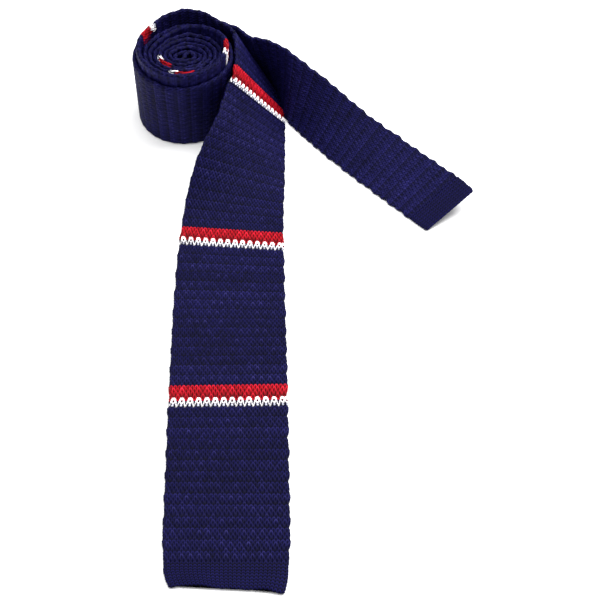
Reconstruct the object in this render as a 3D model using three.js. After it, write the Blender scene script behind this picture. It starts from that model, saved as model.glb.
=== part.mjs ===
// Knit tie, folded at its middle and rolled up double, with its blade and its tail let out of the roll.
// It is one flat knitted band. Its foot is the edge that stands on the surface, and the other edge leans
// over from it. Millimetres, Z up, the blade lies towards -Y and the tail towards +X.
import * as THREE from "three";

// The band
const clothThickness = 2.4;
const bladeWidth = 60;
const rolledWidth = 52;
const tailWidth = 38;

// The roll
const coreRadius = 5.75;
const layerGap = 0.3;
const partingGap = 0.55;
const rollTurns = 3.75;
const rollStretch = 1.06;
const rollStep = 12;
const heartStep = 30;

// The free ends
const bladeRun = 336;
const tailRun = 124;
const tailHeading = 50;
const turningStep = 6;
const flatStep = 14;
const shortestStep = 0.4;
const edgeFacets = 4;

// Stripes, hems and seams
const stripeSpacing = 112.5;
const redBand = 8.6;
const whiteBand = 5.1;
const bladeHem = 15;
const tailHem = 13;
const seamGap = 0.3;

// Yarn colours
const navy = 0x1d1a48;
const red = 0xc81628;
const white = 0xf2eff0;

const layerPitch = clothThickness + layerGap;
const turnPitch = 2 * layerPitch;
const rollRadius = coreRadius + turnPitch * rollTurns;
const tailTurns = rollTurns + 0.5;

// The roll from its heart to its outside: how far out, how wide the blade's half and the tail's are there
// and how far the foot is lifted at the front, as shares of rolledWidth.
const rollSections = [
  { out: 0, blade: 0.76, tail: 0.76, lift: 0.1 },
  { out: 0.5, blade: 0.8, tail: 0.8, lift: 0.1 },
  { out: 0.72, blade: 0.83, tail: 0.84, lift: 0.1 },
  { out: 0.81, blade: 1.0, tail: 0.856, lift: 0 },
  { out: 1.0, blade: 1.0, tail: 0.856, lift: 0 },
];

// How far the outside of the roll leans out in each direction from its middle, in degrees.
const splaySections = [
  { turn: 0, lean: 3.2 },
  { turn: 45, lean: 2.6 },
  { turn: 90, lean: 4.7 },
  { turn: 140, lean: -0.8 },
  { turn: 185, lean: 1.7 },
  { turn: 225, lean: 4.2 },
  { turn: 270, lean: 6.5 },
  { turn: 315, lean: 5.0 },
  { turn: 360, lean: 3.2 },
];

// Where the blade's foot runs once it leaves the back of the roll, as shares of rollRadius from the middle
// of the roll. Its lean towards the roll and the tail's behind it are in degrees, the leaning edge runs
// ahead by a share of the width, and the tail's width is a share of rolledWidth.
const partingSections = [
  { aside: 0.46, away: 1.135, bladeLean: 0, tailLean: -2, ahead: -0.05, tail: 0.856 },
  { aside: 0.925, away: 1.19, bladeLean: 10, tailLean: 9, ahead: -0.12, tail: 0.856 },
  { aside: 1.385, away: 1.19, bladeLean: 19, tailLean: 18, ahead: -0.13, tail: 0.856 },
  { aside: 1.77, away: 1.01, bladeLean: 24, tailLean: 20, ahead: -0.12, tail: 0.84 },
  { aside: 1.97, away: 0.62, bladeLean: 28.5, tailLean: 10, ahead: 0.03, tail: 0.815 },
];

// The blade as it turns over onto the surface, in the same shares, with its width as a share of bladeWidth.
const turningSections = [
  { aside: 2.13, away: -0.2, lean: 34, ahead: 0.19, width: 0.875 },
  { aside: 2.15, away: -0.85, lean: 41, ahead: 0.2, width: 0.87 },
  { aside: 2.16, away: -1.46, lean: 48, ahead: 0.18, width: 0.865 },
  { aside: 2.16, away: -2.04, lean: 58.5, ahead: 0.12, width: 0.875 },
  { aside: 2.155, away: -2.69, lean: 71, ahead: 0.03, width: 0.885 },
  { aside: 2.145, away: -3.35, lean: 83, ahead: -0.05, width: 0.905 },
];

// The blade on the surface: how far along it is from the last row above to the end of the blade, how far
// aside its foot drifts and how wide it is, as shares of bladeWidth.
const bladeSections = [
  { along: 0.07, drift: 0, ahead: -0.1, width: 0.935 },
  { along: 0.18, drift: 0.01, ahead: -0.06, width: 0.963 },
  { along: 0.36, drift: 0.03, ahead: 0, width: 0.98 },
  { along: 0.5, drift: 0.045, ahead: 0.02, width: 0.987 },
  { along: 0.75, drift: 0.065, ahead: 0, width: 0.987 },
  { along: 0.87, drift: 0.075, ahead: 0, width: 0.985 },
  { along: 0.91, drift: 0.07, ahead: 0, width: 0.97 },
  { along: 0.97, drift: 0.06, ahead: 0, width: 0.94 },
  { along: 1.0, drift: 0.035, ahead: 0, width: 0.87 },
];

// The tail from where it parts from the blade to its end: how far along its foot is and how far aside of a
// straight line, its lean away from the roll, how far its leaning edge runs ahead and how wide it is, as
// shares of tailWidth.
const tailSections = [
  { along: 0, aside: 0, lean: 10, ahead: -0.2, width: 1.05 },
  { along: 0.05, aside: -0.05, lean: 20, ahead: -0.18, width: 1.02 },
  { along: 0.15, aside: -0.08, lean: 33, ahead: -0.12, width: 0.95 },
  { along: 0.27, aside: -0.1, lean: 46, ahead: -0.1, width: 0.9 },
  { along: 0.4, aside: -0.11, lean: 58, ahead: -0.08, width: 0.89 },
  { along: 0.65, aside: -0.1, lean: 67, ahead: -0.02, width: 0.92 },
  { along: 0.93, aside: -0.07, lean: 70, ahead: 0.07, width: 0.95 },
  { along: 1.0, aside: -0.06, lean: 70, ahead: 0.1, width: 0.92 },
];

// Where each stripe's red and white meet, in stripe spacings from the end of the blade. The spacing draws
// in where the band is rolled.
const stripePlaces = [1, 2, 2.9, 3.79, 4.6, 5.52, 6.32];

function radians(degrees) {
  return (degrees * Math.PI) / 180;
}

function mix(from, to, share) {
  return from + (to - from) * share;
}

// A table's column at a place between two rows.
function between(rows, key, place, column) {
  const next = Math.max(1, rows.findIndex((row) => row[key] >= place));
  const from = rows[next - 1];
  const to = rows[next];
  return mix(from[column], to[column], (place - from[key]) / (to[key] - from[key]));
}

// A station is one cross line of the band: where its foot is, its lean to the left of the way the band
// runs, how far the other edge runs ahead, as a share of the width, the width and how far its foot is lifted.
function station(x, y, lean, ahead, width, lift = 0) {
  return { x, y, lean, ahead, width, lift };
}

// The roll is two spirals, the blade's half and the tail's, that lie between each other's turns.
function rollStation(half, out, turns, angle) {
  const radius = coreRadius + turnPitch * turns * out;
  const turn = radians(angle);
  const lean = between(splaySections, "turn", angle % 360, "lean") * out;
  const lift = between(rollSections, "out", out, "lift") * (0.5 - 0.5 * Math.sin(turn));
  const x = radius * Math.cos(turn);
  const y = rollStretch * radius * Math.sin(turn);
  const width = rolledWidth * between(rollSections, "out", out, half);
  return station(x, y, half === "blade" ? -lean : lean, 0, width, rolledWidth * lift);
}

// The middle of the tie crosses the heart of the roll in two half circles.
function heartStation(angle, side, turn) {
  const half = side * 0.5 * coreRadius;
  const x = half * (Math.cos(radians(angle)) + Math.cos(radians(angle + turn)));
  const y = half * (Math.sin(radians(angle)) + Math.sin(radians(angle + turn)));
  const heart = rollSections[0];
  return station(x, rollStretch * y, 0, 0, rolledWidth * heart.blade, rolledWidth * heart.lift * 0.5);
}

function bladeStations() {
  const last = turningSections[turningSections.length - 1];
  const start = rollRadius * last.away;
  const flat = bladeSections.map((row) => {
    const x = rollRadius * last.aside + bladeWidth * row.drift;
    return station(x, mix(start, -bladeRun, row.along), 90, -row.ahead, bladeWidth * row.width);
  });
  const turning = turningSections.map((row) =>
    station(rollRadius * row.aside, rollRadius * row.away, row.lean, -row.ahead, bladeWidth * row.width),
  );
  const parting = partingSections.map((row) =>
    station(rollRadius * row.aside, rollRadius * row.away, row.bladeLean, -row.ahead, rolledWidth),
  );
  return [...flat.reverse(), ...turning.reverse(), ...parting.reverse()];
}

// The tail lies against the outside of the blade until it parts from it.
function tailStations() {
  const feet = partingSections.map((row) => [rollRadius * row.aside, rollRadius * row.away]);
  const first = turningSections[0];
  feet.push([rollRadius * first.aside, rollRadius * first.away]);
  const offset = clothThickness + partingGap;
  const outside = feet.map(([x, y], index) => {
    const before = feet[Math.max(index - 1, 0)];
    const after = feet[Math.min(index + 1, feet.length - 1)];
    const run = new THREE.Vector2(after[0] - before[0], after[1] - before[1]).normalize();
    return [x - offset * run.y, y + offset * run.x];
  });
  const parting = partingSections.map((row, index) =>
    station(outside[index][0], outside[index][1], -row.tailLean, 0, rolledWidth * row.tail),
  );
  const [startX, startY] = outside[outside.length - 1];
  const free = tailSections.map((row) => {
    const run = tailRun * row.along;
    const aside = tailWidth * row.aside;
    const x = startX + run * Math.cos(radians(tailHeading)) + aside * Math.sin(radians(tailHeading));
    const y = startY - run * Math.sin(radians(tailHeading)) + aside * Math.cos(radians(tailHeading));
    return station(x, y, row.lean, row.ahead, tailWidth * row.width);
  });
  return [...parting, ...free];
}

// The whole band's cross lines in order, from the end of the blade to the end of the tail.
function guideStations() {
  const guides = bladeStations();
  const bladeSteps = Math.round((rollTurns * 360) / rollStep);
  for (let step = 0; step <= bladeSteps; step += 1) {
    const share = 1 - step / bladeSteps;
    const angle = 90 + rollStep * step;
    guides.push(rollStation("blade", share, rollTurns, angle));
  }
  const heartAngle = 90 + rollStep * bladeSteps;
  for (let turn = heartStep; turn <= 180; turn += heartStep) {
    guides.push(heartStation(heartAngle, 1, turn));
  }
  for (let turn = 180 - heartStep; turn > 0; turn -= heartStep) {
    guides.push(heartStation(heartAngle, -1, turn));
  }
  const tailSteps = Math.round((tailTurns * 360) / rollStep);
  for (let step = 0; step <= tailSteps; step += 1) {
    const share = step / tailSteps;
    const angle = 90 + rollStep * (tailSteps - step);
    guides.push(rollStation("tail", share, tailTurns, angle));
  }
  return [...guides, ...tailStations()];
}

// Smooth stations between the guides, a step apart at most where the band isn't rolled.
function smoothStations(guides) {
  const path = new THREE.CatmullRomCurve3(guides.map((g) => new THREE.Vector3(g.x, g.y, g.lift)));
  const shape = new THREE.CatmullRomCurve3(
    guides.map((g) => new THREE.Vector3(g.lean, g.ahead, g.width)),
    false,
    "catmullrom",
  );
  const spans = guides.length - 1;
  const stations = [];
  for (let span = 0; span < spans; span += 1) {
    const from = guides[span];
    const to = guides[span + 1];
    const flat = from.lean === 90 && to.lean === 90;
    const length = Math.hypot(to.x - from.x, to.y - from.y);
    const parts = Math.max(1, Math.round(length / (flat ? flatStep : turningStep)));
    for (let part = 0; part < parts; part += 1) {
      const t = (span + part / parts) / spans;
      const foot = path.getPoint(t);
      const form = shape.getPoint(t);
      stations.push(station(foot.x, foot.y, flat ? 90 : form.x, form.y, form.z, foot.z));
    }
  }
  stations.push(guides[spans]);
  return stations;
}

// Each station's foot and other edge in space, along the middle of the cloth, the cloth's own direction
// there and the length of cloth up to it.
function bandLines(stations) {
  const lines = stations.map((s, index) => {
    const before = stations[Math.max(index - 1, 0)];
    const after = stations[Math.min(index + 1, stations.length - 1)];
    const heading = new THREE.Vector3(after.x - before.x, after.y - before.y, 0).normalize();
    if (s.lean === 90) {
      heading.set(0, 1, 0);
    }
    const left = new THREE.Vector3(-heading.y, heading.x, 0);
    const lean = radians(s.lean);
    const square = Math.sqrt(1 - s.ahead * s.ahead);
    const across = new THREE.Vector3(0, 0, Math.cos(lean) * square);
    across.addScaledVector(left, Math.sin(lean) * square);
    across.addScaledVector(heading, s.ahead);
    const foot = new THREE.Vector3(s.x, s.y, s.lift + 0.5 * clothThickness);
    return { foot, across, width: s.width - clothThickness, heading };
  });
  let length = 0;
  lines.forEach((line, index) => {
    line.middle = line.foot.clone().addScaledVector(line.across, 0.5 * line.width);
    if (index > 0) {
      length += line.middle.distanceTo(lines[index - 1].middle);
    }
    line.length = length;
  });
  lines.forEach((line, index) => {
    const before = lines[Math.max(index - 1, 0)];
    const after = lines[Math.min(index + 1, lines.length - 1)];
    const along = after.middle.clone().sub(before.middle);
    line.face = line.across.clone().cross(along).normalize();
  });
  return lines;
}

function lineAt(lines, length) {
  const next = Math.max(1, lines.findIndex((line) => line.length >= length));
  const from = lines[next - 1];
  const to = lines[next];
  const share = (length - from.length) / (to.length - from.length);
  return {
    foot: from.foot.clone().lerp(to.foot, share),
    across: from.across.clone().lerp(to.across, share).normalize(),
    face: from.face.clone().lerp(to.face, share).normalize(),
    width: mix(from.width, to.width, share),
    length,
  };
}

// The cloth's cross section: two flat faces with a rounded edge at each side.
function sectionRing(line) {
  const half = 0.5 * clothThickness;
  const edge = Array.from({ length: edgeFacets + 1 }, (_, facet) => {
    const turn = Math.PI * (0.5 + facet / edgeFacets);
    return [half * Math.cos(turn), half * Math.sin(turn)];
  });
  const ring = edge.map(([out, up]) => [out, up]);
  for (const [out, up] of edge) {
    ring.push([line.width - out, -up]);
  }
  return ring.map(([out, up]) =>
    line.foot.clone().addScaledVector(line.across, out).addScaledVector(line.face, up),
  );
}

// The faces of each half are split along the same diagonals, so that they stay even between the layers.
function bandGeometry(rings, half) {
  const around = rings[0].length;
  const points = rings.flat().flatMap((p) => [p.x, p.y, p.z]);
  const faces = [];
  for (let ring = 0; ring < rings.length - 1; ring += 1) {
    for (let corner = 0; corner < around; corner += 1) {
      const a = ring * around + corner;
      const b = ring * around + ((corner + 1) % around);
      if (half === "blade") {
        faces.push(a, a + around, b, b, a + around, b + around);
      } else {
        faces.push(a, b + around, b, a, a + around, b + around);
      }
    }
  }
  const end = (rings.length - 1) * around;
  for (let corner = 1; corner < around - 1; corner += 1) {
    faces.push(0, corner, corner + 1);
    faces.push(end, end + corner + 1, end + corner);
  }
  const geometry = new THREE.BufferGeometry();
  geometry.setAttribute("position", new THREE.Float32BufferAttribute(points, 3));
  geometry.setIndex(faces);
  geometry.computeVertexNormals();
  return geometry;
}

function piece(lines, half, name, from, to, yarn) {
  const inner = lines.filter((line) => line.length > from + shortestStep && line.length < to - shortestStep);
  const rings = [lineAt(lines, from), ...inner, lineAt(lines, to)].map(sectionRing);
  const mesh = new THREE.Mesh(bandGeometry(rings, half), yarn);
  mesh.name = name;
  return mesh;
}

function yarn(color) {
  return new THREE.MeshStandardMaterial({ color, roughness: 0.85, metalness: 0 });
}

function buildTie() {
  const lines = bandLines(smoothStations(guideStations()));
  const total = lines[lines.length - 1].length;
  const navyYarn = yarn(navy);
  const redYarn = yarn(red);
  const whiteYarn = yarn(white);
  const cuts = [
    { name: "blade_hem", to: bladeHem, yarn: navyYarn },
  ];
  stripePlaces.forEach((place, index) => {
    const meet = stripeSpacing * place;
    cuts.push({ name: `navy_panel_${index + 1}`, to: meet - whiteBand, yarn: navyYarn });
    cuts.push({ name: `white_stripe_${index + 1}`, to: meet, yarn: whiteYarn });
    cuts.push({ name: `red_stripe_${index + 1}`, to: meet + redBand, yarn: redYarn });
  });
  cuts.push({ name: "neck_panel", to: 0.5 * total, yarn: navyYarn });
  cuts.push({ name: "tail_panel", to: total - tailHem, yarn: navyYarn });
  cuts.push({ name: "tail_hem", to: total, yarn: navyYarn });
  const tie = new THREE.Group();
  let from = 0;
  for (const cut of cuts) {
    const half = from < 0.5 * total ? "blade" : "tail";
    tie.add(piece(lines, half, cut.name, from, cut.to, cut.yarn));
    from = cut.to + seamGap;
  }
  const box = new THREE.Box3().setFromObject(tie);
  const middle = box.getCenter(new THREE.Vector3());
  tie.position.set(-middle.x, -middle.y, -box.min.z);
  return tie;
}

const tie = buildTie();

export default tie;
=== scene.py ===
"""Knit tie, folded at its middle and rolled up double, with its blade and its tail let out of the roll.

The band's shape repeats the CAD model's sizes and tables, in millimetres round the middle of the roll. The
knitting is real relief on closed bands: rings of yarn in rows, each row half a cell aside of the next.
"""

import math

import bpy
import numpy as np
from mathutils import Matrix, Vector


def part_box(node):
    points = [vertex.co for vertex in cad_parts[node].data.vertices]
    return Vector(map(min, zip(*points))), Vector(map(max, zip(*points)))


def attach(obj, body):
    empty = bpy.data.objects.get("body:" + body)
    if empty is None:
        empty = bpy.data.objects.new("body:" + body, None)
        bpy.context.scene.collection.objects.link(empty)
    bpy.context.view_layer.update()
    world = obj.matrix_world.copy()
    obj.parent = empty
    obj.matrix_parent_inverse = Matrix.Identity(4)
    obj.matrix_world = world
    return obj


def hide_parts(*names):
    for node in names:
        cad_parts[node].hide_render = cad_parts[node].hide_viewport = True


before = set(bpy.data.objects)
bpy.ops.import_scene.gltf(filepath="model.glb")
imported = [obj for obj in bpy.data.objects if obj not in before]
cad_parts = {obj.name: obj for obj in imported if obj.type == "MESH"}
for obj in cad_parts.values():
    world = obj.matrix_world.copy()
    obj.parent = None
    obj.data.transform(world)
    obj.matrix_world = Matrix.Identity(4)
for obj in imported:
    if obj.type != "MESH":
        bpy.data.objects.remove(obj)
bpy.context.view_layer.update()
scene = bpy.context.scene

# The band
CLOTH = 2.4
BLADE_WIDTH = 60.0
ROLLED_WIDTH = 52.0
TAIL_WIDTH = 38.0

# The roll
CORE_RADIUS = 5.75
LAYER_GAP = 0.3
PARTING_GAP = 0.55
ROLL_TURNS = 3.75
ROLL_STRETCH = 1.06
ROLL_STEP = 12
HEART_STEP = 30

# The free ends
BLADE_RUN = 336.0
TAIL_RUN = 124.0
TAIL_HEADING = 50
TURNING_STEP = 6.0
FLAT_STEP = 14.0
TANGENT_STEP = 0.02

# Stripes and hems
STRIPE_SPACING = 112.5
RED_BAND = 8.6
WHITE_BAND = 5.1
BLADE_HEM = 15.0
TAIL_HEM = 13.0

TURN_PITCH = 2 * (CLOTH + LAYER_GAP)
ROLL_RADIUS = CORE_RADIUS + TURN_PITCH * ROLL_TURNS
TAIL_TURNS = ROLL_TURNS + 0.5

# out, blade's width, tail's width and lift, as shares of ROLLED_WIDTH
ROLL_SECTIONS = np.array(
    [
        (0.0, 0.76, 0.76, 0.1),
        (0.5, 0.8, 0.8, 0.1),
        (0.72, 0.83, 0.84, 0.1),
        (0.81, 1.0, 0.856, 0.0),
        (1.0, 1.0, 0.856, 0.0),
    ]
)
# direction and lean, in degrees
SPLAY_SECTIONS = np.array(
    [
        (0, 3.2),
        (45, 2.6),
        (90, 4.7),
        (140, -0.8),
        (185, 1.7),
        (225, 4.2),
        (270, 6.5),
        (315, 5.0),
        (360, 3.2),
    ]
)
# aside, away, blade's lean, tail's lean, ahead, tail's width
PARTING_SECTIONS = (
    (0.46, 1.135, 0, -2, -0.05, 0.856),
    (0.925, 1.19, 10, 9, -0.12, 0.856),
    (1.385, 1.19, 19, 18, -0.13, 0.856),
    (1.77, 1.01, 24, 20, -0.12, 0.84),
    (1.97, 0.62, 28.5, 10, 0.03, 0.815),
)
# aside, away, lean, ahead, width
TURNING_SECTIONS = (
    (2.13, -0.2, 34, 0.19, 0.875),
    (2.15, -0.85, 41, 0.2, 0.87),
    (2.16, -1.46, 48, 0.18, 0.865),
    (2.16, -2.04, 58.5, 0.12, 0.875),
    (2.155, -2.69, 71, 0.03, 0.885),
    (2.145, -3.35, 83, -0.05, 0.905),
)
# along, drift, ahead, width
BLADE_SECTIONS = (
    (0.07, 0.0, -0.1, 0.935),
    (0.18, 0.01, -0.06, 0.963),
    (0.36, 0.03, 0.0, 0.98),
    (0.5, 0.045, 0.02, 0.987),
    (0.75, 0.065, 0.0, 0.987),
    (0.87, 0.075, 0.0, 0.985),
    (0.91, 0.07, 0.0, 0.97),
    (0.97, 0.06, 0.0, 0.94),
    (1.0, 0.035, 0.0, 0.87),
)
# along, aside, lean, ahead, width
TAIL_SECTIONS = (
    (0.0, 0.0, 10, -0.2, 1.05),
    (0.05, -0.05, 20, -0.18, 1.02),
    (0.15, -0.08, 33, -0.12, 0.95),
    (0.27, -0.1, 46, -0.1, 0.9),
    (0.4, -0.11, 58, -0.08, 0.89),
    (0.65, -0.1, 67, -0.02, 0.92),
    (0.93, -0.07, 70, 0.07, 0.95),
    (1.0, -0.06, 70, 0.1, 0.92),
)
STRIPE_PLACES = (1, 2, 2.9, 3.79, 4.6, 5.52, 6.32)

# The knitting: tall stitches across the band, its tucked rows from stripe to stripe and how long a row is
CELLS = 13.6
CELL_SHIFT = 0.18
COURSES = 4
STRIPE_ROWS = 17
RED_ROWS = 1
WHITE_REACH = 0.5
WHITE_ROW = 6.1
NECK_ROW = 6.2
TAIL_ROW = 6.56

# plain and tucked stitches of each course in a row: how much they rise, in millimetres, and their tone
LIFTS = ((0.02, -0.2), (0.0, 0.0), (-0.1, 0.1), (0.04, 0.04))
TONES = np.array(((0.95, 0.7), (0.86, 0.86), (0.95, 1.2), (1.04, 1.04)))

# one stitch: its arc's half width and its legs' spread in cells, its arc's rise and its legs' run in courses,
# and how far its legs drop; then the level of the yarn and of the ground behind it
ARC_WIDTH = 0.135
LEG_SPREAD = 0.19
ARC_RISE = 0.45
LEG_RUN = 0.75
LEG_DROP = 0.28
YARN_LEVEL = -0.1
GROUND_LEVEL = -0.9

# the meshes of the blade, the roll and the tail: their cell, row, yarn and how strong their tucks are
MESHES = {"wide": (4.3, 6.56, 0.36, 1.0), "mid": (3.7, 6.0, 0.34, 1.0), "narrow": (2.6, 6.56, 0.3, 0.5)}

# the white rows: their span from where white meets red, how much each stripe's is squashed, where the ground
# turns from navy to red, over which span it sinks and how far, and the numbers of their two yarns
WHITE_SPAN = (-6.0, 1.4)
WHITE_SQUASH = (1, 1, 0.76, 0.9, 0.9, 0.9, 0.9)
WHITE_GROUND = -1.6
SUNK_SPAN = (-5.2, 0.3)
SUNK_BY = 0.2
# the shaded yarn is the same white yarn with painted shade, on the round loops under the ovals
WHITE_YARN, SHADED_YARN = 1, 2

# the hems' fine knitting, one V of yarn in a cell: its spread and its gap in cells, its rise in rows, the
# level of the ground, how deep it is on the cloth and how far the coarse knitting runs out into it
HEM_CELL = 2.1
HEM_ROW = 1.7
HEM_YARN = 0.42
HEM_SPREAD = 0.36
HEM_GAP = 0.1
HEM_RISE = 0.8
HEM_GROUND = -0.6
HEM_DEPTH = 1.5
HEM_BLEND = 1.2

# where in a row its groove and the flat blade's ridge lie, the groove's shading as waves of one, two and
# three to a row, and over which lengths the ridges fade
GROOVE_PLACE = 0.62
GROOVE_WAVES = (0.06, -0.1, 0.09)
RIDGE_PLACE = 0.66
RIDGES_TO = 260
RIDGES_FADE = 160
# how far slanted stitches rise, the strength of the edges' two waves together, and the blade's end: how far
# its corner hangs and how far it draws in beside the other corner
SLANT_RISE = 0.4
EDGE_WAVES = 1.45
END_CORNER = 2.6
END_HOLLOW = 2.2

# the rim's cell, the part of the inner face that hides the stripes, the least half thickness and height, how
# far along the cloth its lower edge is pressed, and how many turns of the tail are modelled as outside
EDGE_CELL = 4.2
INSIDE_WIDTH = 0.93
INSIDE_FROM = 3.4 * STRIPE_SPACING
THINNEST = 0.03
FLOOR_GAP = 0.02
PRESS_RUN = 18.0
OUTER_TURNS = 1.1

NAVY = np.array((0.0034, 0.0030, 0.036))
RED = np.array((0.31, 0.003, 0.009))
WHITE = np.array((0.84, 0.82, 0.84))
GLINT = np.array((0.034, 0.03, 0.06))
SHADED_WHITE = np.array((0.5, 0.51, 0.62))
# where pits begin and how deep they get, their painted shade in the yarn's own colour, and each yarn's
# painted shade in them
PIT_FROM = 0.1
PIT_DEPTH = 0.6
PIT_SHADE = 0.3
PIT_SHADES = {"navy_knit": 0.35, "red_knit": 0.2, "white_knit": 0.4}
# the knitting's brightness, and which of it glints: the highest part of the brightest stitches
BRIGHTNESS = 1.08
GLINT_HEIGHT = 0.16
GLINT_STITCH = 0.8


# The band's shape


def roll_station(half, out, turns, angle):
    """The band's place, lean, lead and width in the roll: out is 0 at its heart and 1 at its outside."""
    radius = CORE_RADIUS + TURN_PITCH * turns * out
    turn = math.radians(angle)
    lean = np.interp(angle % 360, SPLAY_SECTIONS[:, 0], SPLAY_SECTIONS[:, 1]) * out
    lift = np.interp(out, ROLL_SECTIONS[:, 0], ROLL_SECTIONS[:, 3]) * (0.5 - 0.5 * math.sin(turn))
    share = np.interp(out, ROLL_SECTIONS[:, 0], ROLL_SECTIONS[:, 1 if half == "blade" else 2])
    x = radius * math.cos(turn)
    y = ROLL_STRETCH * radius * math.sin(turn)
    return (x, y, ROLLED_WIDTH * lift, -lean if half == "blade" else lean, 0.0, ROLLED_WIDTH * share)


def heart_station(angle, side, turn):
    half = side * 0.5 * CORE_RADIUS
    x = half * (math.cos(math.radians(angle)) + math.cos(math.radians(angle + turn)))
    y = half * (math.sin(math.radians(angle)) + math.sin(math.radians(angle + turn)))
    _, wide, _, lift = ROLL_SECTIONS[0]
    return (x, ROLL_STRETCH * y, ROLLED_WIDTH * lift * 0.5, 0.0, 0.0, ROLLED_WIDTH * wide)


def blade_stations():
    """The blade from its end up to the roll."""
    last = TURNING_SECTIONS[-1]
    start = ROLL_RADIUS * last[1]
    found = []
    for along, drift, ahead, width in reversed(BLADE_SECTIONS):
        x = ROLL_RADIUS * last[0] + BLADE_WIDTH * drift
        y = start + (-BLADE_RUN - start) * along
        found.append((x, y, 0.0, 90.0, -ahead, BLADE_WIDTH * width))
    for aside, away, lean, ahead, width in reversed(TURNING_SECTIONS):
        found.append((ROLL_RADIUS * aside, ROLL_RADIUS * away, 0.0, lean, -ahead, BLADE_WIDTH * width))
    for aside, away, lean, _, ahead, _ in reversed(PARTING_SECTIONS):
        found.append((ROLL_RADIUS * aside, ROLL_RADIUS * away, 0.0, lean, -ahead, ROLLED_WIDTH))
    return found


def tail_stations():
    """The tail from the roll out to its end, on the outside of the blade at first."""
    feet = [(ROLL_RADIUS * row[0], ROLL_RADIUS * row[1]) for row in PARTING_SECTIONS]
    feet.append((ROLL_RADIUS * TURNING_SECTIONS[0][0], ROLL_RADIUS * TURNING_SECTIONS[0][1]))
    outside = []
    for index, (x, y) in enumerate(feet):
        before = feet[max(index - 1, 0)]
        after = feet[min(index + 1, len(feet) - 1)]
        run = Vector((after[0] - before[0], after[1] - before[1])).normalized() * (CLOTH + PARTING_GAP)
        outside.append((x - run.y, y + run.x))
    found = []
    for place, (_, _, _, lean, _, width) in zip(outside, PARTING_SECTIONS):
        found.append((*place, 0.0, -lean, 0.0, ROLLED_WIDTH * width))
    heading = math.radians(TAIL_HEADING)
    for along, aside, lean, ahead, width in TAIL_SECTIONS:
        run, off = TAIL_RUN * along, TAIL_WIDTH * aside
        x = outside[-1][0] + run * math.cos(heading) + off * math.sin(heading)
        y = outside[-1][1] - run * math.sin(heading) + off * math.cos(heading)
        found.append((x, y, 0.0, lean, ahead, TAIL_WIDTH * width))
    return found


def guide_stations():
    """The whole band from the blade's end to the tail's: foot, lean, lead and width."""
    guides = blade_stations()
    blade_steps = round(ROLL_TURNS * 360 / ROLL_STEP + 1e-6)
    for step in range(blade_steps + 1):
        guides.append(roll_station("blade", 1 - step / blade_steps, ROLL_TURNS, 90 + ROLL_STEP * step))
    heart = 90 + ROLL_STEP * blade_steps
    for turn in range(HEART_STEP, 181, HEART_STEP):
        guides.append(heart_station(heart, 1, turn))
    for turn in range(180 - HEART_STEP, 0, -HEART_STEP):
        guides.append(heart_station(heart, -1, turn))
    tail_steps = round(TAIL_TURNS * 360 / ROLL_STEP + 1e-6)
    for step in range(tail_steps + 1):
        angle = 90 + ROLL_STEP * (tail_steps - step)
        guides.append(roll_station("tail", step / tail_steps, TAIL_TURNS, angle))
    return np.array(guides + tail_stations())


def catmull(points, t, centripetal):
    """A Catmull-Rom curve through points, at t in spans."""
    many = len(points)
    whole = np.minimum(np.floor(t).astype(int), many - 2)
    w = (t - whole)[:, None]
    padded = np.vstack([2 * points[:1] - points[1:2], points, 2 * points[-1:] - points[-2:-1]])
    p0, p1, p2, p3 = (padded[whole + k] for k in range(4))
    if centripetal:
        gaps = []
        for a, b in ((p0, p1), (p1, p2), (p2, p3)):
            gaps.append(np.maximum(((b - a) ** 2).sum(1)[:, None] ** 0.25, 1e-4))
        g0, g1, g2 = gaps
        t1 = ((p1 - p0) / g0 - (p2 - p0) / (g0 + g1) + (p2 - p1) / g1) * g1
        t2 = ((p2 - p1) / g1 - (p3 - p1) / (g1 + g2) + (p3 - p2) / g2) * g1
    else:
        t1, t2 = 0.5 * (p2 - p0), 0.5 * (p3 - p1)
    return p1 + t1 * w + (3 * (p2 - p1) - 2 * t1 - t2) * w**2 + (2 * (p1 - p2) + t1 + t2) * w**3


def unit(v):
    return v / np.maximum(np.linalg.norm(v, axis=-1, keepdims=True), 1e-12)


GUIDES = guide_stations()


def band_at(t):
    """The band's foot, cross direction and width at t in guide spans."""
    foot = catmull(GUIDES[:, :3], t, True)
    form = catmull(GUIDES[:, 3:], t, False)
    step = catmull(GUIDES[:, :3], np.clip(t + TANGENT_STEP, 0, len(GUIDES) - 1), True)
    step = step - catmull(GUIDES[:, :3], np.clip(t - TANGENT_STEP, 0, len(GUIDES) - 1), True)
    step[:, 2] = 0
    heading = unit(step)
    whole = np.minimum(np.floor(t).astype(int), len(GUIDES) - 2)
    flat = (GUIDES[whole, 3] == 90) & (GUIDES[whole + 1, 3] == 90)
    lean = np.radians(np.where(flat, 90.0, form[:, 0]))[:, None]
    heading = np.where(flat[:, None], np.array([[0.0, 1.0, 0.0]]), heading)
    ahead = form[:, 1:2]
    square = np.sqrt(1 - ahead**2)
    left = np.stack([-heading[:, 1], heading[:, 0], np.zeros(len(t))], 1)
    up = np.array([[0.0, 0.0, 1.0]])
    across = unit(up * np.cos(lean) * square + left * np.sin(lean) * square + heading * ahead)
    foot = foot + np.array([[0.0, 0.0, 0.5 * CLOTH]])
    return foot, across, form[:, 2] - CLOTH


def cad_stations():
    """Where the CAD model's cross lines are, in guide spans."""
    places = []
    for span in range(len(GUIDES) - 1):
        a, b = GUIDES[span], GUIDES[span + 1]
        step = FLAT_STEP if a[3] == 90 and b[3] == 90 else TURNING_STEP
        parts = max(1, math.floor(math.hypot(b[0] - a[0], b[1] - a[1]) / step + 0.5))
        places += [span + part / parts for part in range(parts)]
    return np.array(places + [len(GUIDES) - 1.0])


def middles(t):
    foot, across, width = band_at(t)
    return foot + across * width[:, None] * 0.5


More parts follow.
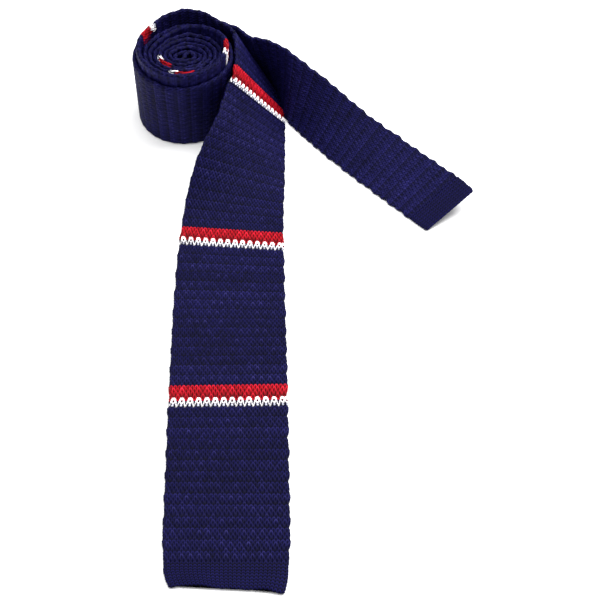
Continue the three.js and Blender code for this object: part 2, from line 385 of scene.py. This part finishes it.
PLACES = cad_stations()
LENGTHS = np.concatenate([[0], np.cumsum(np.linalg.norm(np.diff(middles(PLACES), axis=0), axis=1))])
TOTAL = LENGTHS[-1]

FINE = np.linspace(0, len(GUIDES) - 1, 16 * (len(GUIDES) - 1) + 1)
FOOT, ACROSS, WIDTH = band_at(FINE)
MIDDLE = FOOT + ACROSS * WIDTH[:, None] * 0.5
FACE = unit(np.cross(ACROSS, np.gradient(MIDDLE, axis=0)))


def frame_of(lengths):
    """Foot, cross direction, face and width of the band at these lengths of cloth."""
    t = np.interp(lengths, LENGTHS, PLACES)

    def read(values):
        return np.stack([np.interp(t, FINE, values[:, k]) for k in range(3)], -1)

    return read(FOOT), unit(read(ACROSS)), unit(read(FACE)), np.interp(t, FINE, WIDTH)


# The row frame's origin, from where the CAD model's blade ends and its roll stands
hem_low, hem_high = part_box("blade_hem")
hem_feet, _, _, _ = frame_of(np.linspace(0, BLADE_HEM, 30))
SHIFT = np.array([hem_high.x * 1000 - hem_feet[:, 0].max() - 0.5 * CLOTH, hem_low.y * 1000 + BLADE_RUN, 0.0])

# The camera, at the photograph's viewing angle
CAMERA_PLACE = np.array([66.0, -767.8, 636.0])
CAMERA_TILT = 44
camera = bpy.data.objects.new("camera", bpy.data.cameras.new("camera"))
camera.data.lens = 100.8
camera.data.sensor_width = 36
camera.location = 0.001 * (CAMERA_PLACE + SHIFT)
camera.rotation_euler = (math.radians(CAMERA_TILT), 0, 0)
scene.collection.objects.link(camera)
scene.camera = camera


# The knitting: which row of it lies where

MEETS = np.array(STRIPE_PLACES) * STRIPE_SPACING


def row_knots():
    """Lengths of cloth with the number of rows up to there, wherever the rows' height changes."""
    knots = [(0.0, 0.0)]
    for index, meet in enumerate(MEETS):
        rows = STRIPE_ROWS * (index + 1)
        white_top = meet + WHITE_REACH
        knots += [(white_top - WHITE_ROW, rows - 1), (white_top, rows), (meet + RED_BAND, rows + RED_ROWS)]
    last_length, last_row = knots[-1]
    neck_row = last_row + (0.5 * TOTAL - last_length) / NECK_ROW
    return np.array([*knots, (0.5 * TOTAL, neck_row), (TOTAL, neck_row + 0.5 * TOTAL / TAIL_ROW)])


ROW_KNOTS = row_knots()


def rows_at(lengths):
    return np.interp(lengths, ROW_KNOTS[:, 0], ROW_KNOTS[:, 1])


# The knitting: tiles of it, made of strands of yarn


def tile_grid(grid, wide, high, low=0.0):
    """The middles of a tile's spots in millimetres, across the cloth and along it from low on."""
    across = (np.arange(grid[0]) + 0.5) / grid[0] * wide
    return np.meshgrid(across, low + (np.arange(grid[1]) + 0.5) / grid[1] * high)


def ring(cx, cy, a, b, top, side, foot):
    """A closed loop of yarn, with its heights at the top, at the sides and at the foot."""
    turn = np.linspace(0, 2 * math.pi, 17)
    high = np.where(np.sin(turn) > 0, top, foot)
    z = side + (high - side) * np.abs(np.sin(turn)) ** 2
    return np.stack([cx + a * np.cos(turn), cy + b * np.sin(turn), z], 1)


def lay(strands, gx, gy, best, owner):
    """Lays strands of yarn, each (points, radius, owner), over a grid of heights."""
    for points, radius, number in strands:
        for a, b in zip(points[:-1], points[1:]):
            dx, dy = b[0] - a[0], b[1] - a[1]
            t = np.clip(((gx - a[0]) * dx + (gy - a[1]) * dy) / max(dx * dx + dy * dy, 1e-12), 0, 1)
            off = np.hypot(gx - a[0] - t * dx, gy - a[1] - t * dy) / radius
            height = a[2] + t * (b[2] - a[2]) + radius * (np.sqrt(np.clip(1 - off**2, 0, 1)) - 1)
            taken = (off < 1) & (height > best)
            best[taken] = height[taken]
            owner[taken] = number


def knit_tile(cell, row, yarn, tuck):
    """Two rows of one cell, which repeat: heights, and twice the course plus 1 at tucked stitches."""
    gx, gy = tile_grid((64, 208), cell, 2 * row)
    best = np.full(gx.shape, GROUND_LEVEL)
    owner = 2 * np.floor(gy / row * COURSES).astype(int)
    pitch = row / COURSES
    turn = np.linspace(0, math.pi, 9)
    half_arc = ARC_WIDTH * cell
    for course in range(-2, 2 * COURSES + 2):
        shift = 0.5 * (course % 2) + course // COURSES
        y = (course + 0.5) * pitch
        for half in range(-2, 5):
            x = (half + shift) * 0.5 * cell
            tucked = half % 2 == 0
            lift = YARN_LEVEL + tuck * LIFTS[course % COURSES][tucked]
            arc = np.stack(
                [x + half_arc * np.cos(turn), y + ARC_RISE * pitch * np.sin(turn), lift + 0 * turn], 1
            )
            strands = [arc]
            for side in (-1, 1):
                foot = (x + side * LEG_SPREAD * cell, y - LEG_RUN * pitch, lift - LEG_DROP)
                strands.append(np.array([(x + side * half_arc, y, lift), foot]))
            lay([(strand, yarn, 2 * course + tucked) for strand in strands], gx, gy, best, owner)
    return best, owner


def white_tile(cell):
    """The white row over one cell: ovals, the round loops under them and the legs between."""
    low, high = WHITE_SPAN
    gx, gy = tile_grid((64, 112), cell, high - low, low)
    best = np.full(gx.shape, -9.0)
    owner = np.zeros(gx.shape, int)
    for shift in (-1, 0, 1):
        x = (shift + 0.5) * cell
        oval = ring(x, -1.5, 0.22 * cell, 1.62, 0.12, 0.2, 0.0)
        bridge = np.array([(x - 0.3, -1.1, 0.0), (x, -0.7, 0.05), (x + 0.3, -1.1, 0.0)])
        loop = ring(x, -4.3, 0.28, 0.35, 0.0, 0.0, -0.05)
        strands = [(oval, 0.33, WHITE_YARN), (bridge, 0.28, WHITE_YARN), (loop, 0.3, SHADED_YARN)]
        for side in (-1, 1):
            leg = [
                (x + side * 0.3 * cell, -2.3, -0.02),
                (x + side * 0.4 * cell, -3.9, 0.08),
                (x + side * 0.48 * cell, -5.0, 0),
            ]
            strands.append((np.array(leg), 0.25, WHITE_YARN))
        lay(strands, gx, gy, best, owner)
    return best, owner


def hem_tile(cell, row, yarn):
    """Fine flat knitting: one column of small V stitches."""
    gx, gy = tile_grid((32, 32), cell, row)
    best = np.full(gx.shape, HEM_GROUND)
    for number in range(-2, 4):
        for shift in (-1, 0, 1):
            for side in (-1, 1):
                x, y = (shift + 0.5) * cell + side * HEM_GAP * cell, number * row
                dx, dy = side * HEM_SPREAD * cell, HEM_RISE * row
                t = np.clip(((gx - x) * dx + (gy - y) * dy) / (dx * dx + dy * dy), 0, 1)
                off = np.hypot(gx - x - t * dx, gy - y - t * dy) / yarn
                height = -0.2 + 0.2 * np.sin(math.pi * t) + yarn * (np.sqrt(np.clip(1 - off**2, 0, 1)) - 1)
                taken = (off < 1) & (height > best)
                best[taken] = height[taken]
    return best


def read_tile(tile, x, y):
    """A tile's value at x, y in shares of it, repeating both ways and smooth between its spots."""
    high, wide = tile.shape
    fx, fy = x * wide - 0.5, y * high - 0.5
    ix, iy = np.floor(fx).astype(int), np.floor(fy).astype(int)
    wx, wy = fx - ix, fy - iy
    a, b = tile[iy % high, ix % wide], tile[iy % high, (ix + 1) % wide]
    c, d = tile[(iy + 1) % high, ix % wide], tile[(iy + 1) % high, (ix + 1) % wide]
    return (a * (1 - wx) + b * wx) * (1 - wy) + (c * (1 - wx) + d * wx) * wy


KNIT_TILES = {kind: knit_tile(*sizes) for kind, sizes in MESHES.items()}
WHITE_TILES = {kind: white_tile(sizes[0]) for kind, sizes in MESHES.items()}
HEM_TILE = hem_tile(HEM_CELL, HEM_ROW, HEM_YARN)

# how bright each stitch is, by its course and its place across the cloth; the last column is the row's own
UNEVEN = np.random.default_rng(7).normal(1.0, 0.13, (256, 256)).clip(0.7, 1.4)
ROW_COLUMN = 200


# The knitting: its height and colour at places on the cloth


def lay_white(kind, cells, lengths, inside, high, colour):
    """Puts the stripes' white rows on the cloth's height and colour."""
    white_high, white_on = WHITE_TILES[kind]
    grid_y, grid_x = white_on.shape
    low, top = WHITE_SPAN
    for meet, squash in zip(MEETS, WHITE_SQUASH):
        past = (lengths - meet) / squash
        near = (past > low) & (past < top)
        if not near.any():
            continue
        past, outer = past[near], inside[near] <= 0
        iy = np.clip(((past - low) / (top - low) * grid_y).astype(int), 0, grid_y - 1)
        ix = ((cells[near] % 1.0) * grid_x).astype(int) % grid_x
        on = white_on[iy, ix] * outer
        between = past > WHITE_GROUND
        base, tint = high[near], colour[near]
        tint[between & outer] = RED
        tint[~between] = NAVY
        base = base - SUNK_BY * (past > SUNK_SPAN[0]) * (past < SUNK_SPAN[1])
        tint[on == WHITE_YARN] = WHITE
        tint[on == SHADED_YARN] = SHADED_WHITE
        high[near], colour[near] = np.where(on > 0, white_high[iy, ix], base), tint


def knit(kind, cells, lengths, inside, twill):
    """Height in millimetres, how deep in a pit and the colour at places on the cloth: the yarn's colour with
    painted shade in its pits and grooves, and painted highlight and shade on raised stitches.

    inside is 1 deep on the roll's inner face, where the knitting's wrong side hides the stripes. twill is how
    much the stitches slant: two slanted ones in a row, each row half a cell aside of the next.
    """
    rows = rows_at(lengths)
    slant = twill * np.cos(2 * math.pi * (cells + 2 * (rows % 1.0) + 0.5 * np.floor(rows)))
    heights, owners = KNIT_TILES[kind]
    x, y = cells % 1.0, (rows / 2) % 1.0
    high = read_tile(heights, x, y) + SLANT_RISE * slant
    grid_y, grid_x = owners.shape
    owner = owners[(y * grid_y).astype(int) % grid_y, (x * grid_x).astype(int) % grid_x]
    tone = TONES[owner // 2 % COURSES, owner % 2]
    course = owner // 2 + 2 * COURSES * np.floor(rows / 2).astype(int)

    past = course % (STRIPE_ROWS * COURSES)
    band = (course - past) // (STRIPE_ROWS * COURSES)
    red = (band >= 1) & (band <= len(MEETS)) & (past < RED_ROWS * COURSES)
    colour = np.broadcast_to(NAVY, (*high.shape, 3)).copy()
    colour[red] = RED
    colour[red & (inside > 0)] = 0.25 * RED + 0.75 * NAVY
    lay_white(kind, cells, lengths, inside, high, colour)

    # how deep in a pit, which sets a painted shade there
    pit = np.clip((-high - PIT_FROM) / PIT_DEPTH, 0, 1)
    quarter = np.where(course % 2 == 1, 0.5, 0.0)
    which = np.floor(cells * 2 - quarter + 0.5).astype(int) % 256
    stitch = UNEVEN[course % 256, which] * (0.4 + 0.6 * UNEVEN[course // COURSES % 256, ROW_COLUMN])
    glint = np.clip((high + GLINT_HEIGHT) / GLINT_HEIGHT, 0, 1) * np.clip(stitch - GLINT_STITCH, 0, 1)
    turn = 2 * math.pi * (rows - GROOVE_PLACE)
    groove = sum(share * np.cos(count * turn) for count, share in enumerate(GROOVE_WAVES, 1))
    bright = tone * (BRIGHTNESS - PIT_SHADE * pit + groove)
    # painted highlight and shade: the raised side of slanted stitches is brighter and the other darker, and
    # the glint is a painted highlight on the brightest stitches
    colour = colour * (stitch * bright * (1 + slant))[..., None] + GLINT * glint[..., None]
    return high, pit, colour


def wave(x, seed):
    """A smooth, irregular wave between about -1 and 1."""
    rng = np.random.default_rng(seed)
    total = np.zeros_like(x)
    for k in range(5):
        total += np.sin(x * (0.6 + 0.55 * k) + rng.uniform(0, 6.28)) * rng.uniform(0.2, 0.5)
    return total


# Pieces


def ring_lengths(start, end, step, hem):
    """The lengths of cloth where a piece has its rings, and how full each is: a hem's free end is rounded."""
    count = max(2, int(round((end - start) / step)))
    if hem is None:
        return np.linspace(start, end, count + 1), np.ones(count + 1)
    radius = 0.5 * CLOTH
    ends = np.array([0.0, 0.12, 0.3, 0.6])
    if hem == "start":
        lengths = np.concatenate([start + ends * radius, np.linspace(start + radius, end, count)])
        run = lengths - start
    else:
        lengths = np.concatenate([np.linspace(start, end - radius, count), end - ends[::-1] * radius])
        run = end - lengths
    return lengths, np.sqrt(np.clip(1 - (1 - np.clip(run / radius, 0, 1)) ** 2, 0.0025, 1))


def spread_columns(near, far, rim):
    """Places round the cross section: side, -1 and 1 the faces, 0 and 2 the edges, and share of it."""
    near, far = round(near * CELLS), round(far * CELLS)
    columns = [(-1, (k + 0.5) / near) for k in range(near)]
    columns += [(2, (k + 0.5) / rim) for k in range(rim)]
    columns += [(1, 1 - (k + 0.5) / far) for k in range(far)]
    columns += [(0, (k + 0.5) / rim) for k in range(rim)]
    return np.array(columns).T


def edge_lines(rows, lengths, relief, hem):
    """How far the lower and the upper edge stand out: with the courses, and on a hem in slow waves."""
    if hem is not None:
        return 0.2 * wave(lengths * 0.5, 3), 0.2 * wave(lengths * 0.5, 8)
    pair, single = relief["pair"], EDGE_WAVES - relief["pair"]
    low = pair * np.cos(math.pi * rows) + single * np.cos(2 * math.pi * rows + 1) + 0.5 * wave(rows, 11)
    high = pair * np.cos(math.pi * rows + 0.6) + single * np.cos(2 * math.pi * rows) + 0.6 * wave(rows, 5)
    return relief["scallop"] * low, relief["scallop"] * high


def closed_band(name, points):
    """A closed mesh through rings of points, with flat ends."""
    along, around, _ = points.shape
    index = np.arange(along * around).reshape(along, around)
    beside = np.roll(index, -1, axis=1)
    quads = np.stack([index[:-1], index[1:], beside[1:], beside[:-1]], -1).reshape(-1, 4)
    loops = np.concatenate([quads.reshape(-1), index[0], index[-1][::-1]])
    starts = np.append(np.arange(len(quads) + 1) * 4, len(quads) * 4 + around)
    mesh = bpy.data.meshes.new(name)
    mesh.vertices.add(along * around)
    mesh.vertices.foreach_set("co", points.reshape(-1).astype(np.float32))
    mesh.loops.add(len(loops))
    mesh.loops.foreach_set("vertex_index", loops.astype(np.int32))
    mesh.polygons.add(len(starts))
    mesh.polygons.foreach_set("loop_start", starts.astype(np.int32))
    mesh.update(calc_edges=True)
    mesh.validate()
    mesh.polygons.foreach_set("use_smooth", [True] * len(mesh.polygons))
    return mesh


def band_piece(name, nodes, start, end, form, relief, slot, hem=None):
    """One closed length of the knitted band between two lengths of cloth, standing for nodes."""
    lengths, rounding = ring_lengths(start, end, form["step"], hem)
    rounding = rounding[:, None]
    foot, across, face, width = frame_of(lengths)
    side, share = spread_columns(form["near"], form["far"], form["rim"])
    flat_side = np.abs(side) == 1
    turn = math.pi * share
    rows = rows_at(lengths)[:, None]
    run = lengths[:, None] + np.zeros((1, len(side)))

    # where each place is across the cloth, and where it faces
    place = np.where(flat_side, share, np.where(side == 2, 1.0, 0.0))[None, :]
    low_edge, high_edge = edge_lines(rows, lengths[:, None], relief, hem)
    out = place * width[:, None] + high_edge * place**4 - low_edge * (1 - place) ** 4
    out = out + relief["uneven"] * wave(lengths[:, None] * 0.045, 31) * place**3
    direction_up = np.select([flat_side, side == 2], [side, -np.cos(turn)], np.cos(turn))
    direction_out = np.select([flat_side, side == 2], [0.0, np.sin(turn)], -np.sin(turn))

    # the knitting there
    edge_run = 0.5 * math.pi * CLOTH / EDGE_CELL
    cells = np.select([flat_side, side == 2], [share * CELLS, CELLS + edge_run * share], -edge_run * share)
    cells = cells[None, :] + CELL_SHIFT + np.zeros((len(lengths), 1))
    inside = (side[None, :] == 1) * (place < INSIDE_WIDTH) * (run > INSIDE_FROM)
    high, pit, colour = knit(form["kind"], cells, run, inside, relief["twill"])
    ridge = 0.0
    if hem is None:
        turn_of_row = 2 * math.pi * (rows - GROOVE_PLACE)
        rib = relief["rib"] * (np.cos(turn_of_row) + 0.5 * np.cos(2 * turn_of_row))
        # painted highlight and shade along the ribs: brighter on their crests, darker in their hollows
        colour = colour * (1 + 1.3 * rib)[..., None]
        slackening = np.clip((RIDGES_TO - run) / RIDGES_FADE, 0.2, 1)
        ridge = rib + slackening * relief["ridge"] * np.cos(2 * math.pi * (rows - RIDGE_PLACE))
    else:
        fine = HEM_DEPTH * read_tile(HEM_TILE, cells * 2, (run / HEM_ROW) % 1.0)
        blend = np.clip((run - start if hem == "end" else end - run) / HEM_BLEND, 0, 1)
        # the hem's pits get a painted shade, and its raised yarn is painted brighter navy
        deep = np.clip(-fine * 1.3, 0, 1)
        high = high * (1 - blend) + fine * blend
        pit = pit * (1 - blend) + deep * blend
        colour = colour * (1 - blend)[..., None] + NAVY * ((1.65 - 1.8 * deep) * blend)[..., None]

    # the cloth's half thickness with the knitting's relief, which fades round the edges
    fade = np.where(flat_side, 1.0, relief["edge"] + 0.3 * np.abs(np.cos(turn)))[None, :]
    offset = np.where(side == 1, relief["far"], relief["near"])[None, :]
    rise = (high * relief["depth"] + ridge) * fade + offset
    body = 0.5 * CLOTH * rounding + rise * np.minimum(1, rounding * 1.2)
    body = np.maximum(body, THINNEST)
    pressed = np.exp(-(((lengths - relief["press_at"]) / PRESS_RUN) ** 2))[:, None]
    body = body + relief["press"] * pressed * np.clip(1 - 2.5 * place, 0, 1)

    points = (
        foot[:, None, :]
        + across[:, None, :] * (out + direction_out * body)[..., None]
        + face[:, None, :] * (direction_up * body)[..., None]
    )
    points[..., 2] = np.maximum(points[..., 2], FLOOR_GAP)
    if hem == "start":
        corner = END_CORNER * np.exp(-((place / 0.1) ** 2))
        hollow = END_HOLLOW * np.exp(-(((place - 0.8) / 0.22) ** 2))
        drop = corner - hollow + 0.3 * wave(place * 9, 21)
        points[..., 1] -= drop * (1 - (run - start) / (end - start)) ** 1.5

    mesh = closed_band(name, (points + SHIFT) * 0.001)
    # the yarn colour holds the yarn's own colour with painted shade and highlight, and pit sets the
    # material's painted shade in the pits
    tint = mesh.attributes.new("yarn", "FLOAT_COLOR", "POINT")
    tint.data.foreach_set("color", np.concatenate([colour, np.ones((*colour.shape[:2], 1))], -1).reshape(-1))
    depth = mesh.attributes.new("pit", "FLOAT", "POINT")
    depth.data.foreach_set("value", np.ascontiguousarray(pit).reshape(-1))
    mesh.materials.append(YARNS[slot])
    obj = bpy.data.objects.new(name, mesh)
    scene.collection.objects.link(obj)
    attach(obj, "root")
    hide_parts(*nodes)
    return obj


def cloth(start, end):
    """Reads the band's widths over a length of cloth, and makes nothing of them."""
    _, _, _, widths = frame_of(np.linspace(start, end, 60))


def yarn_material(name, deep):
    """Silky knitting yarn with fine plies: the colour of the yarn at each spot, times a painted shade deep in
    the pits and random tone in patches and fibres.
    """
    mat = bpy.data.materials.new(name)
    mat.use_nodes = True
    nodes, links = mat.node_tree.nodes, mat.node_tree.links
    shader = nodes["Principled BSDF"]
    shader.inputs["Specular IOR Level"].default_value = 0.06
    coord = nodes.new("ShaderNodeTexCoord")

    def attribute(label):
        node = nodes.new("ShaderNodeAttribute")
        node.attribute_name = label
        return node

    def noise(scale):
        node = nodes.new("ShaderNodeTexNoise")
        node.inputs["Scale"].default_value = scale
        node.inputs["Detail"].default_value = 3
        links.new(coord.outputs["Object"], node.inputs["Vector"])
        return node.outputs["Fac"]

    def ramp(source, low, high, to_low, to_high):
        node = nodes.new("ShaderNodeMapRange")
        node.inputs["From Min"].default_value = low
        node.inputs["From Max"].default_value = high
        node.inputs["To Min"].default_value = to_low
        node.inputs["To Max"].default_value = to_high
        links.new(source, node.inputs["Value"])
        return node.outputs["Result"]

    def times(a, b):
        node = nodes.new("ShaderNodeMath")
        node.operation = "MULTIPLY"
        links.new(a, node.inputs[0])
        links.new(b, node.inputs[1])
        return node.outputs["Value"]

    patch, fibre = noise(90), noise(1500)
    # painted shade in the pits, brighter outside them, times random tone in patches and fibres
    pit_shade_and_tone = ramp(attribute("pit").outputs["Fac"], 0.0, 1.0, 1.12, deep)
    pit_shade_and_tone = times(pit_shade_and_tone, ramp(patch, 0.3, 0.7, 0.86, 1.16))
    pit_shade_and_tone = times(pit_shade_and_tone, ramp(fibre, 0.3, 0.7, 0.84, 1.16))
    scale = nodes.new("ShaderNodeVectorMath")
    scale.operation = "SCALE"
    links.new(attribute("yarn").outputs["Color"], scale.inputs[0])
    links.new(pit_shade_and_tone, scale.inputs["Scale"])
    links.new(scale.outputs["Vector"], shader.inputs["Base Color"])
    links.new(ramp(fibre, 0.3, 0.7, 0.52, 0.7), shader.inputs["Roughness"])
    bump = nodes.new("ShaderNodeBump")
    bump.inputs["Strength"].default_value = 0.35
    bump.inputs["Distance"].default_value = 0.0002
    links.new(fibre, bump.inputs["Height"])
    links.new(bump.outputs["Normal"], shader.inputs["Normal"])
    return mat


YARNS = {name: yarn_material(name, deep) for name, deep in PIT_SHADES.items()}


def length_at(guide):
    return float(np.interp(guide, PLACES, LENGTHS))


# where the blade and the tail come down to the flat, where the tail leaves the back of the roll, and where
# its outermost turn begins
BLADE_LEAVES = length_at(len(BLADE_SECTIONS) + len(TURNING_SECTIONS) - 1)
TAIL_LEAVES = length_at(len(GUIDES) - len(TAIL_SECTIONS))
BACK_GUIDE = len(GUIDES) - 1 - len(TAIL_SECTIONS) - len(PARTING_SECTIONS)
TAIL_BACK = length_at(BACK_GUIDE)
TAIL_ROUND = length_at(BACK_GUIDE - OUTER_TURNS * 360 / ROLL_STEP)

# how finely each stretch is modelled: samples a cell on the near and far face, at the rim, and along
FLAT = dict(kind="wide", near=12, far=3, rim=7, step=0.37)
LEANING = dict(kind="mid", near=10, far=6, rim=7, step=0.45)
CROSSING = dict(kind="mid", near=8, far=8, rim=7, step=0.45)
MOUTH = dict(kind="mid", near=4, far=6, rim=7, step=0.6)
INSIDE = dict(kind="mid", near=3, far=4, rim=6, step=0.8)
HIDDEN = dict(kind="mid", near=2, far=2, rim=6, step=0.9)
OUTSIDE = dict(kind="narrow", near=3, far=9, rim=7, step=0.55)
FREE = dict(kind="narrow", near=9, far=3, rim=7, step=0.45)

# each stretch's relief: how deep the knitting is, how far its faces stand out, how its edges and rows wave,
# and where its lower edge is thicker, pressed on the floor
PLAIN = dict(pair=1.0, uneven=0.0, twill=0.0, rib=0.0, ridge=0.0, edge=0.5, press=0.0, press_at=0.0)
FLAT_RELIEF = PLAIN | dict(depth=1.0, near=0.25, far=-0.02, ridge=0.24, scallop=0.26)
LEAN_RELIEF = PLAIN | dict(depth=0.9, near=0.2, far=0.1, scallop=0.2, press=0.3, press_at=BLADE_LEAVES - 10)
ROLL_RELIEF = PLAIN | dict(
    depth=0.95, near=0.18, far=0.18, scallop=0.25, pair=0.6, edge=0.9, uneven=0.7, rib=0.05
)
FREE_RELIEF = PLAIN | dict(
    depth=0.9, near=0.2, far=0.1, scallop=0.36, pair=0.5, rib=0.02, twill=0.11,
    press=0.8, press_at=TAIL_LEAVES - 20,
)

# the blade's half: its hem, then a navy stretch with a white and a red stripe, seven times, and the neck
blade_end = band_piece("blade_end", ["blade_hem"], 0, BLADE_HEM, FLAT, FLAT_RELIEF, "navy_knit", hem="start")
NAVY_FORMS = (FLAT, FLAT, FLAT, LEANING, MOUTH, INSIDE, INSIDE)
STRIPE_FORMS = (FLAT, FLAT, LEANING, CROSSING, MOUTH, INSIDE, INSIDE)
RELIEFS = (FLAT_RELIEF, FLAT_RELIEF, LEAN_RELIEF, ROLL_RELIEF, ROLL_RELIEF, ROLL_RELIEF, ROLL_RELIEF)
start = BLADE_HEM
for number, (meet, form, stripe_form, relief) in enumerate(zip(MEETS, NAVY_FORMS, STRIPE_FORMS, RELIEFS), 1):
    white, end = meet - WHITE_BAND, meet + RED_BAND
    for colour, node, first, last, fineness in (
        ("navy", "navy_panel", start, white, form),
        ("white", "white_stripe", white, meet, stripe_form),
        ("red", "red_stripe", meet, end, stripe_form),
    ):
        nodes = [f"{node}_{number}"]
        band_piece(f"{colour}_knit_{number}", nodes, first, last, fineness, relief, f"{colour}_knit")
    if number == 1:
        cloth(0.0, end)
    else:
        cloth(start, end)
    start = end
neck = band_piece("neck_knit", ["neck_panel"], start, 0.5 * TOTAL, INSIDE, ROLL_RELIEF, "navy_knit")
cloth(start, 0.5 * TOTAL)

# the tail's half: inner turns, the outermost turn, and from where it leaves the back of the roll
hem_from = TOTAL - TAIL_HEM
tail_node = ["tail_panel"]
inner = band_piece("tail_inner_knit", tail_node, 0.5 * TOTAL, TAIL_ROUND, HIDDEN, ROLL_RELIEF, "navy_knit")
outer = band_piece("tail_outer_knit", tail_node, TAIL_ROUND, TAIL_BACK, OUTSIDE, ROLL_RELIEF, "navy_knit")
free = band_piece("tail_free_knit", tail_node, TAIL_BACK, hem_from, FREE, FREE_RELIEF, "navy_knit")
tail_end = band_piece("tail_end", ["tail_hem"], hem_from, TOTAL, FREE, FREE_RELIEF, "navy_knit", hem="end")
cloth(0.5 * TOTAL, TAIL_ROUND)
cloth(TAIL_ROUND, TAIL_BACK)
cloth(TAIL_BACK, TOTAL)


# Floor and light

floor_mesh = bpy.data.meshes.new("floor")
floor_mesh.from_pydata([(-3, -3, 0), (3, -3, 0), (3, 3, 0), (-3, 3, 0)], [], [(0, 1, 2, 3)])
floor = bpy.data.objects.new("floor", floor_mesh)
scene.collection.objects.link(floor)
floor_mat = bpy.data.materials.new("floor")
floor_mat.use_nodes = True
floor_shader = floor_mat.node_tree.nodes["Principled BSDF"]
floor_shader.inputs["Base Color"].default_value = (0.93, 0.93, 0.93, 1)
floor_shader.inputs["Roughness"].default_value = 0.9
floor_mesh.materials.append(floor_mat)

world = bpy.data.worlds.new("studio")
scene.world = world
world.use_nodes = True
world.node_tree.nodes["Background"].inputs["Color"].default_value = (1, 1, 1, 1)
world.node_tree.nodes["Background"].inputs["Strength"].default_value = 0.85


def softbox(name, place, size, watts):
    """A square light that faces the middle of the part."""
    data = bpy.data.lights.new(name, "AREA")
    data.shape = "SQUARE"
    data.size = size
    data.energy = watts
    obj = bpy.data.objects.new(name, data)
    obj.location = place
    obj.rotation_euler = (-Vector(place)).to_track_quat("-Z", "Y").to_euler()
    scene.collection.objects.link(obj)


softbox("key", (0.6, 0.5, 1.3), 1.0, 27)
softbox("top", (-0.2, 0.1, 1.6), 1.6, 22)

scene.view_settings.view_transform = "Standard"
scene.view_settings.look = "None"
